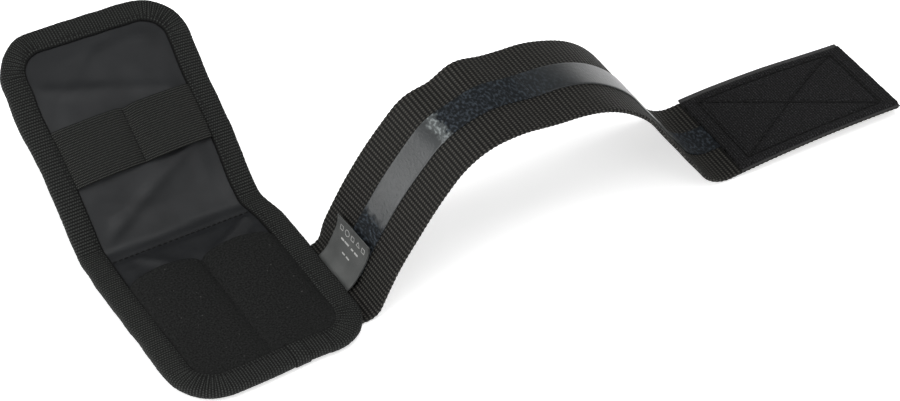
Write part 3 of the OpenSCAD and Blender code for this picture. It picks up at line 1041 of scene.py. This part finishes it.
def label_point(s, y, lift):
    """A point off the label's middle: its near side lies lower and its far corner curls up."""
    x, z, angle = bend_course(LABEL_BENDS, LABEL_START, LABEL_HEADING, s)
    across = (y - LABEL_Y) / LABEL_W
    lift += 0.9 * ease(s, 5, 21) * (across - 0.6) + 0.15 * wander(s, y, 0.12, 1.9)
    return Vector((x - lift * math.sin(angle), y, z + lift * math.cos(angle))) * MM


LABEL_LEAF = 0.3
LABEL_FOLD = 0.55
LABEL_SEWN_IN = 2


def build_label(satin, ink):
    """A folded satin ribbon: two leaves that meet in a round fold at the free end."""
    fold_s = LABEL_LENGTH - LABEL_FOLD
    course = [(s, LABEL_LEAF) for s in np.linspace(-LABEL_SEWN_IN, fold_s, 44)]
    for turn in np.linspace(0.4, math.pi - 0.4, 7):
        course.append((fold_s + LABEL_FOLD * math.sin(turn), LABEL_LEAF * math.cos(turn)))
    course += [(s, -LABEL_LEAF) for s in np.linspace(fold_s, -LABEL_SEWN_IN, 44)]
    across = np.linspace(LABEL_Y + LABEL_W, LABEL_Y, 30)
    layers, uvs = [[], []], []
    for s, lift in course:
        for y in across:
            layers[0].append(label_point(s, y, lift))
            layers[1].append(label_point(min(s, fold_s), y, lift * 0.5))
            uvs.append((s, y))
    faces = slab_faces(len(course) - 1, len(across) - 1)
    both = layers[0] + layers[1]
    leaf = new_piece("label_ribbon", both, faces, satin, uvs + uvs)
    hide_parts("care_label")
    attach(leaf, "label")
    build_label_print(ink)


BOX_FACES = ((3, 2, 1, 0), (4, 5, 6, 7), (0, 1, 5, 4), (1, 2, 6, 5), (2, 3, 7, 6), (3, 0, 4, 7))


def build_label_print(ink):
    """Plain printed marks: a row of small outlined shapes, and short bars under them."""
    points, faces, uvs = [], [], []

    def stroke(a, b, width=0.28):
        a, b = np.array(a, float), np.array(b, float)
        along = (b - a) / max(1e-9, np.linalg.norm(b - a))
        side = np.array([-along[1], along[0]]) * width / 2
        base = len(points)
        for lift in (0.31, 0.36):
            for corner in (a - side, b - side, b + side, a + side):
                points.append(label_point(corner[0], corner[1], lift))
                uvs.append(tuple(corner))
        faces.extend(tuple(base + k for k in face) for face in BOX_FACES)

    def ring(s, y, radius, corners, turn):
        spots = [
            (s + radius * math.cos(turn + 2 * math.pi * k / corners),
             y + radius * math.sin(turn + 2 * math.pi * k / corners))
            for k in range(corners)
        ]
        for a, b in zip(spots, spots[1:] + spots[:1]):
            stroke(a, b)

    for k, corners in enumerate((4, 3, 4, 12, 4)):
        ring(16.6, LABEL_Y + 3.6 + 4.1 * k, 1.45, corners, math.pi / 4 if corners == 4 else 0)
    for k, length in enumerate((2.6, 1.8, 3.2, 2.2)):
        stroke((12.6, LABEL_Y + 5.4 + 3.6 * k), (12.6, LABEL_Y + 5.4 + 3.6 * k + length), 0.7)
    for k, length in enumerate((2.4, 2.0)):
        stroke((8.2, LABEL_Y + 9.0 + 3.4 * k), (8.2, LABEL_Y + 9.0 + 3.4 * k + length), 0.6)
    piece = new_piece("label_print", points, faces, ink, uvs, smooth=False)
    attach(piece, "label")


def build_underside(loop, thread):
    """The patch of loop pile under the base that takes the hook tape, and the seams there."""
    low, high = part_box("loop_patch")
    x0, y0, x1, y1 = low[0] / MM, low[1] / MM, high[0] / MM, high[1] / MM
    step = 0.9
    columns, rows = round((x1 - x0) / step), round((y1 - y0) / step)
    points, uvs = [], []
    for side in (0, 1):
        for i in range(rows + 1):
            for j in range(columns + 1):
                x = x0 + (x1 - x0) * j / columns
                y = y0 + (y1 - y0) * i / rows
                edge = min(x - x0, x1 - x, y - y0, y1 - y)
                pile = 0.35 * abs(wander(x, y, 0.9, 4.4)) + 0.5 * (1 - ease(edge, 0, 1.6))
                points.append(Vector((x, y, 2.15 if side == 0 else pile)) * MM)
                uvs.append((x, y))
    patch = new_piece("loop_pile", points, slab_faces(rows, columns), loop, uvs)
    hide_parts("loop_patch")
    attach(patch, "base")
    under = Stitches()
    margin = 1.2
    box = [(x0 + margin, y0 + margin), (x1 - margin, y0 + margin), (x1 - margin, y1 - margin),
           (x0 + margin, y1 - margin), (x0 + margin, y0 + margin)]
    under.path(box, 2.8, lambda x, y: Vector((x, y, 0.75)) * MM)
    piece = under.build("loop_thread", thread)
    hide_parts("loop_patch_stitch")
    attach(piece, "base")
    anchor = Stitches()
    s0, s1 = STRAP_START[0] - 16, STRAP_START[0] - 5
    y0, y1 = STRAP_Y + 4, STRAP_Y + STRAP_W - 4
    box = [(s0, y0), (s1, y0), (s1, y1), (s0, y1), (s0, y0), (s1, y1)]
    anchor.path(box, 2.8, lambda x, y: Vector((x, y, 0.25)) * MM)
    piece = anchor.build("anchor_thread", thread)
    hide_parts("strap_anchor_stitch")
    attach(piece, "base")


# ---------------------------------------------------------------- build

add_camera()
add_studio()

thread_look = simple_material("thread", (0.006, 0.006, 0.006), 0.6, 6.0)
# Its rim width paints a dark shadow line along the binding's inner edge.
tape_look = tape_material("binding_grosgrain", (0.0105, 0.0112, 0.0105), 1.25, 1.05, rim=1.1)
elastic_look = tape_material("ribbed_elastic", (0.0125, 0.013, 0.012), 1.0, 0.7)

build_strap(webbing_material(), rubber_material())
build_hook_tape(hook_material(), thread_look)
build_panels(lining_material(), simple_material("shell_weave", (0.01, 0.01, 0.01), 0.8),
             simple_material("foam", (0.03, 0.03, 0.03), 0.95), thread_look)
build_pocket(pocket_material(), thread_look)
build_binding(tape_look, thread_look)
build_overlap(tape_look)
build_elastic(elastic_look, thread_look)
build_label(label_material(), simple_material("label_ink", (0.42, 0.42, 0.41), 0.6))
build_underside(simple_material("loop_pile", (0.014, 0.014, 0.014), 0.95, 3.0), thread_look)
